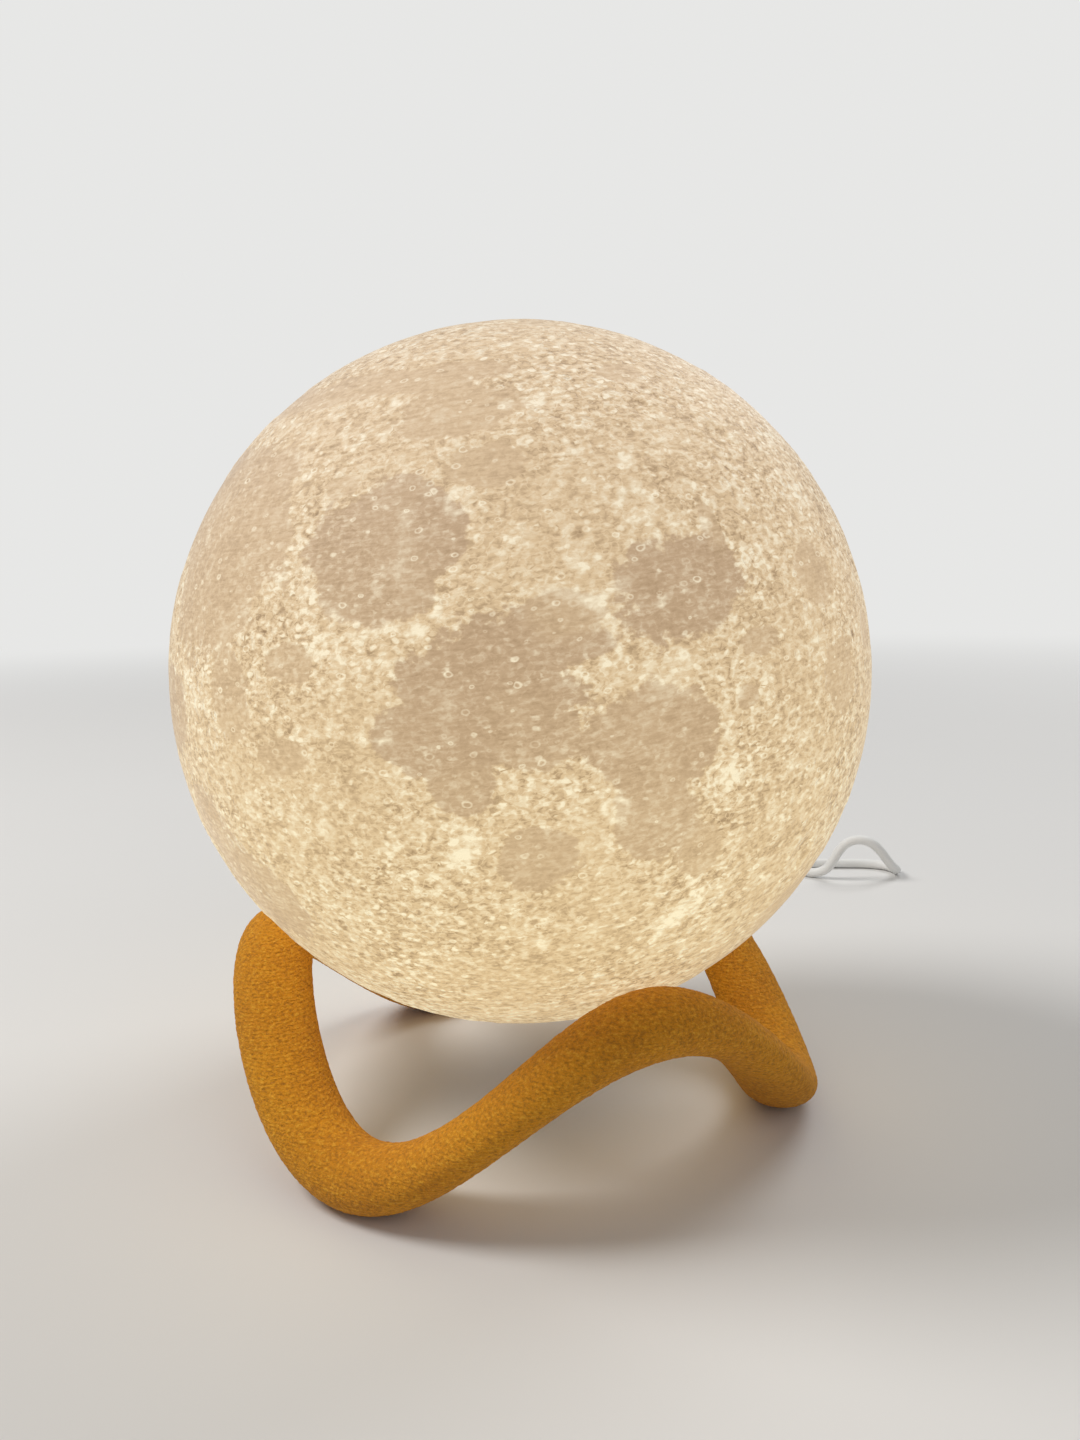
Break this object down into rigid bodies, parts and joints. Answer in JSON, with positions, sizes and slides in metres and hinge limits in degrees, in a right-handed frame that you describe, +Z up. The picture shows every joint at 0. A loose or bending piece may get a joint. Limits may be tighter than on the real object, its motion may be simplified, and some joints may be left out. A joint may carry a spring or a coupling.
{
  "type": "moon lamp",
  "caption": "Rechargeable globe lamp printed as the moon, lying loose on a mustard ring stand with three waves, with a light module in its neck and a USB lead.",
  "frame": {"origin": "on the table, under the centre of the globe", "axes": "+Z up; +Y towards the back crest, under which the lead leaves the stand"},
  "size_m": [0.1653, 0.3026, 0.1722],
  "materials": {
    "stand_skin": "rough felt-like mustard skin with fine ripples",
    "moon_print": "matt printed shell with layer lines and crater relief, glowing warm",
    "module_white": "moulded, satin",
    "cap_white": "moulded, fine grain",
    "button_metal": "spun",
    "part_black": "moulded",
    "contact_brass": "plated",
    "clear_rod": "clear, frosted end",
    "board_green": "solder mask",
    "screw_steel": "zinc plated",
    "pad_foam": "closed-cell foam",
    "battery_foil": "laminated foil",
    "wire_red": "insulation",
    "board_white": "white solder mask",
    "led_phosphor": "phosphor under clear resin",
    "cover_opal": "opal diffuser",
    "lead_white": "soft matt jacket",
    "plug_metal": "nickel plated",
    "tie_white": "woven strap",
    "tongue_white": "moulded"
  },
  "bodies": {
    "root": {"stand_ring": "stand_skin", "plug_body": "lead_white", "plug_barrel": "plug_metal", "plug_strain_relief": "lead_white", "cord_run": "lead_white", "cord_coil": "lead_white", "cord_tail": "lead_white", "cord_tie": "tie_white", "usb_grip": "lead_white", "usb_shell": "plug_metal", "usb_tongue": "tongue_white", "usb_contacts": "contact_brass"},
    "light_module": {"base_cap": "cap_white", "switch_body": "part_black", "dc_socket": "part_black", "dc_socket_pin": "contact_brass", "charge_light_pipe": "clear_rod", "driver_board": "board_green", "board_components": "part_black", "case_screws": "screw_steel", "battery_pad": "pad_foam", "battery_cell": "battery_foil", "battery_leads": "wire_red", "module_housing": "module_white", "led_board": "board_white", "led_chips": "led_phosphor", "led_board_screws": "screw_steel", "led_leads": "wire_red", "led_cover": "cover_opal"},
    "moon": {"moon_shell": "moon_print", "neck_collar": "module_white"},
    "button": {"power_button": "button_metal", "switch_plunger": "part_black"}
  },
  "joints": [
    {"name": "lamp_lift", "type": "slide", "parent": "root", "child": "light_module", "axis": [0, 0, 1], "range_m": [0, 0.09]},
    {"name": "moon_turn", "type": "hinge", "parent": "light_module", "child": "moon", "pos_m": [0, 0, 0.0972], "axis": [0, 0, 1], "continuous": true},
    {"name": "button_press", "type": "slide", "parent": "light_module", "child": "button", "axis": [0, 0, 1], "range_m": [0, 0.0008], "stiffness_N_per_m": 400, "springref_m": -0.0004}
  ]
}
